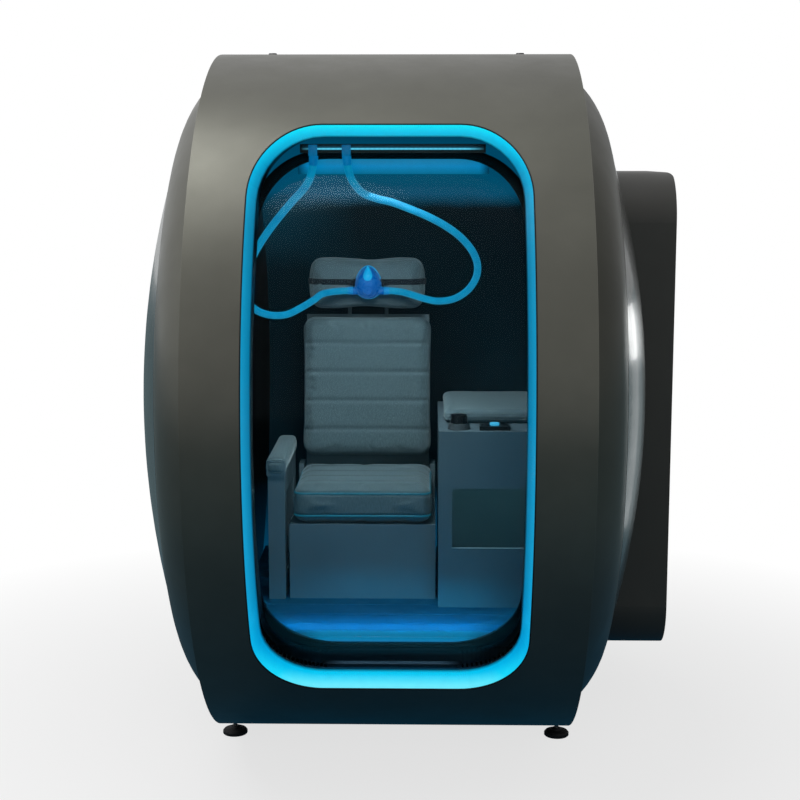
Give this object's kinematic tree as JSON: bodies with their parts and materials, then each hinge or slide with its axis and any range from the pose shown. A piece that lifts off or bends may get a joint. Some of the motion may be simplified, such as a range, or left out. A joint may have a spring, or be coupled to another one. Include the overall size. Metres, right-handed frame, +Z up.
{
  "type": "seated hyperbaric chamber",
  "caption": "Horizontal barrel pressure chamber with a lit doorway, curved sliding door, seat, mask with breathing hoses and a side equipment cabinet.",
  "frame": {"origin": "centre of the footprint on the floor, below the whole object", "axes": "+Z up, -Y towards the doorway, +X towards the equipment cabinet, along the barrel axis"},
  "size_m": [1.5822, 2, 2.05],
  "materials": {
    "cowl_metal": "satin metallic lacquer over moulded skins",
    "dome_gloss": "gloss metallic lacquer",
    "vessel_steel": "grey primed pressure vessel steel",
    "frame_steel": "zinc plated steel",
    "glow": "opal light guide, lit cyan",
    "seal_rubber": "black elastomer",
    "black_trim": "fine grained black moulding",
    "cabin_lining": "dark navy cabin lining",
    "floor_rubber": "grooved studless rubber flooring",
    "seat_fabric": "blue grey woven upholstery",
    "console_shell": "slate grey moulding",
    "cabinet_metal": "charcoal powder coat",
    "pump_casting": "cast compressor housing",
    "tank_white": "light grey enamel",
    "control_grey": "grey electronics housing",
    "fan_blade": "glass filled nylon",
    "roller_nylon": "natural nylon",
    "pane_acrylic": "clear cast acrylic",
    "hose_blue": "smooth light blue breathing hose",
    "mask_blue": "translucent blue mask shell",
    "mask_silicone": "soft blue silicone",
    "strap_webbing": "black elastic webbing"
  },
  "bodies": {
    "chamber": {"vessel_barrel": "vessel_steel", "vessel_head_left": "vessel_steel", "vessel_head_right": "vessel_steel", "door_neck": "vessel_steel", "glow_ring": "glow", "door_gasket": "seal_rubber", "hoop_left": "frame_steel", "hoop_right": "frame_steel", "cradle_ties": "frame_steel", "foot_studs": "frame_steel", "foot_pads": "seal_rubber", "front_cowl": "cowl_metal", "rear_cowl": "cowl_metal", "side_casing_left": "cowl_metal", "side_casing_right": "cowl_metal", "side_dome_left": "dome_gloss", "side_dome_right": "dome_gloss", "lifting_plugs": "black_trim", "cabin_liner": "cabin_lining", "jamb_ring": "black_trim", "door_track_left": "frame_steel", "door_track_right": "frame_steel", "cabin_floor": "floor_rubber", "oxygen_manifold": "black_trim", "light_bar": "glow", "hose_collars": "black_trim", "hose_left": "hose_blue", "hose_right": "hose_blue", "seat_base": "seat_fabric", "seat_cushion": "seat_fabric", "armrest": "seat_fabric", "side_console": "console_shell", "console_pad": "seat_fabric", "air_diffuser": "black_trim", "relief_valve_body": "frame_steel", "intercom_plate": "black_trim", "cabinet_shell": "cabinet_metal", "cabinet_bracket": "frame_steel", "compressor": "pump_casting", "sieve_tanks": "tank_white", "control_box": "control_grey", "fan_shroud": "black_trim", "service_duct": "black_trim"},
    "door": {"door_pane": "pane_acrylic", "door_frame": "black_trim", "door_carriages": "frame_steel"},
    "upper_rollers": {"rollers_upper": "roller_nylon"},
    "lower_rollers": {"rollers_lower": "roller_nylon"},
    "backrest": {"backrest_shell": "black_trim", "backrest_cushion": "seat_fabric", "headrest": "seat_fabric", "mask_shell": "mask_blue", "mask_cushion": "mask_silicone", "mask_strap": "strap_webbing"},
    "lever": {"recline_lever": "black_trim"},
    "valve_knob": {"relief_valve_knob": "black_trim"},
    "button": {"intercom_button": "glow"},
    "hatch": {"cabinet_door": "cabinet_metal"},
    "latch": {"cabinet_latch": "frame_steel"},
    "fan": {"fan_rotor": "fan_blade"}
  },
  "joints": [
    {"name": "door_slide", "type": "hinge", "parent": "chamber", "child": "door", "pos_m": [-0.05615, 0, 1.045], "axis": [-1, 0, 0], "range_deg": [0, 115]},
    {"name": "upper_roller_spin", "type": "hinge", "parent": "door", "child": "upper_rollers", "pos_m": [-0.05615, -0.38927, 1.84313], "axis": [-1, 0, 0], "continuous": true},
    {"name": "lower_roller_spin", "type": "hinge", "parent": "door", "child": "lower_rollers", "pos_m": [-0.05615, -0.5708, 0.36475], "axis": [-1, 0, 0], "continuous": true},
    {"name": "backrest_recline", "type": "hinge", "parent": "chamber", "child": "backrest", "pos_m": [-0.15615, 0.3, 0.735], "axis": [-1, 0, 0], "range_deg": [0, 15]},
    {"name": "recline_lever_lift", "type": "hinge", "parent": "chamber", "child": "lever", "pos_m": [-0.37915, 0.12, 0.615], "axis": [-1, 0, 0], "range_deg": [0, 25], "stiffness_Nm_per_rad": 0.6, "springref_deg": -11.46},
    {"name": "relief_valve_turn", "type": "hinge", "parent": "chamber", "child": "valve_knob", "pos_m": [0.13185, -0.17, 0.973], "axis": [0, 0, 1], "range_deg": [0, 270]},
    {"name": "intercom_press", "type": "slide", "parent": "chamber", "child": "button", "axis": [0, 0, -1], "range_m": [0, 0.004], "stiffness_N_per_m": 400, "springref_m": -0.001},
    {"name": "cabinet_door_swing", "type": "hinge", "parent": "chamber", "child": "hatch", "pos_m": [0.77785, 0.541, 1.045], "axis": [0, 0, 1], "range_deg": [0, 110]},
    {"name": "cabinet_latch_turn", "type": "hinge", "parent": "hatch", "child": "latch", "pos_m": [0.78685, 0.13, 1.005], "axis": [1, 0, 0], "range_deg": [0, 90]},
    {"name": "fan_spin", "type": "hinge", "parent": "chamber", "child": "fan", "pos_m": [0.71485, 0.575, 1.481], "axis": [0, 1, 0], "continuous": true}
  ],
  "couplings": [
    {"joint": "upper_roller_spin", "follows": "door_slide", "ratio": 43.39},
    {"joint": "lower_roller_spin", "follows": "door_slide", "ratio": 43.39}
  ]
}
